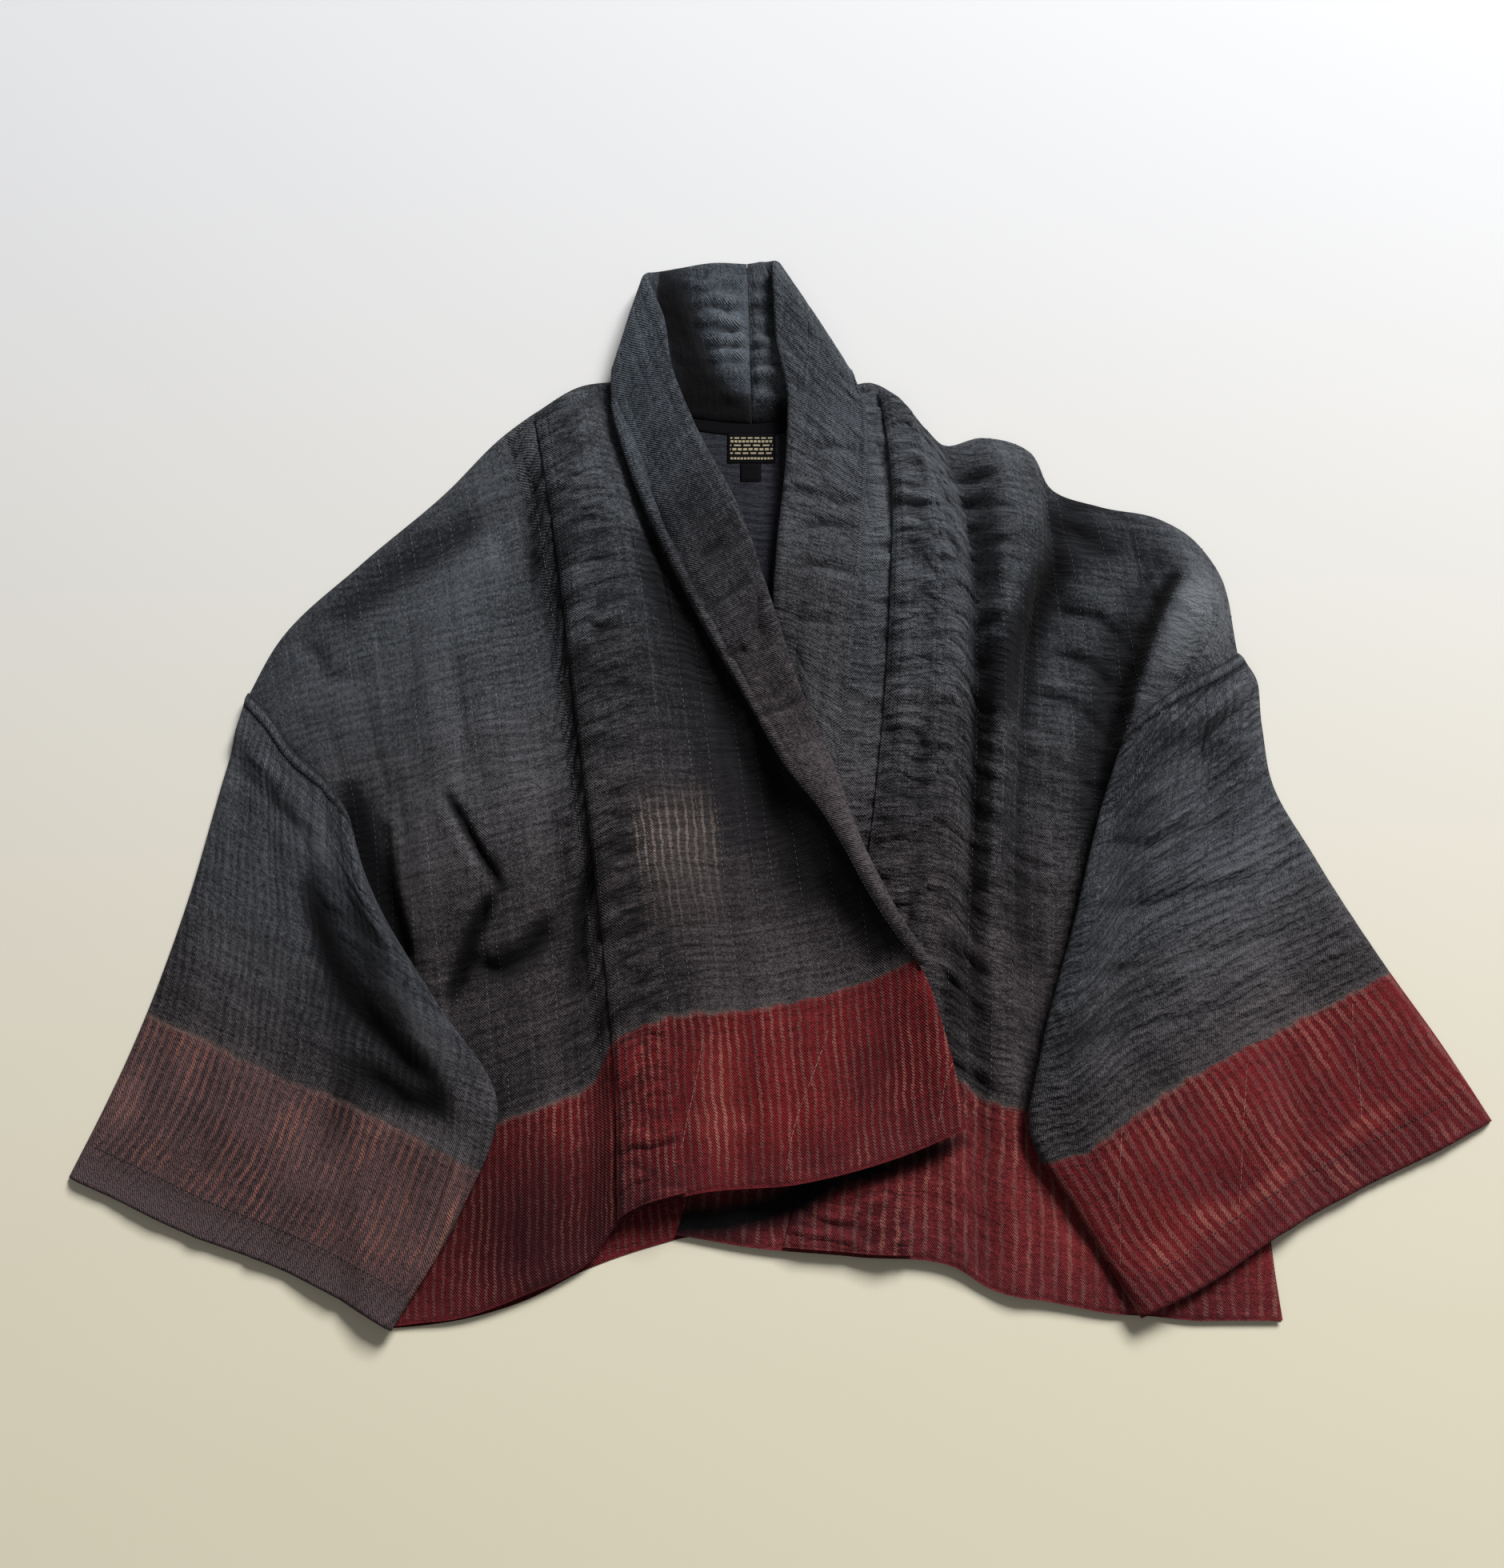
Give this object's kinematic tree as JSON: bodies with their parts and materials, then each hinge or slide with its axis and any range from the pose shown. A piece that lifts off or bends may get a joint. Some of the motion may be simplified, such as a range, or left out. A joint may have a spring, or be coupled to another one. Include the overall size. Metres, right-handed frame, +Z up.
{
  "type": "kimono jacket laid flat",
  "caption": "Cropped kimono-style jacket of quilted cotton with a shawl collar and wide sleeves, striped red at hem and cuffs, laid flat with its front up.",
  "frame": {"origin": "middle of the laid jacket's outline, on the surface that it lies on", "axes": "+X towards the wearer's left sleeve, +Y from the hem towards the collar, +Z up out of the surface, on the side of the jacket's front"},
  "size_m": [1.0282, 0.8127, 0.0365],
  "materials": {
    "body_cloth": "matt twill, quilted in running stitch",
    "sleeve_cloth": "matt twill, quilted in running stitch",
    "woven_tag": "satin weave"
  },
  "bodies": {
    "root": {"back_panel": "body_cloth", "left_front": "body_cloth", "left_tuck": "body_cloth", "left_collar": "body_cloth", "right_front": "body_cloth", "right_tuck": "body_cloth", "right_collar": "body_cloth", "right_sleeve": "sleeve_cloth", "left_sleeve": "sleeve_cloth", "neck_label": "woven_tag", "size_tab": "woven_tag"}
  },
  "joints": []
}
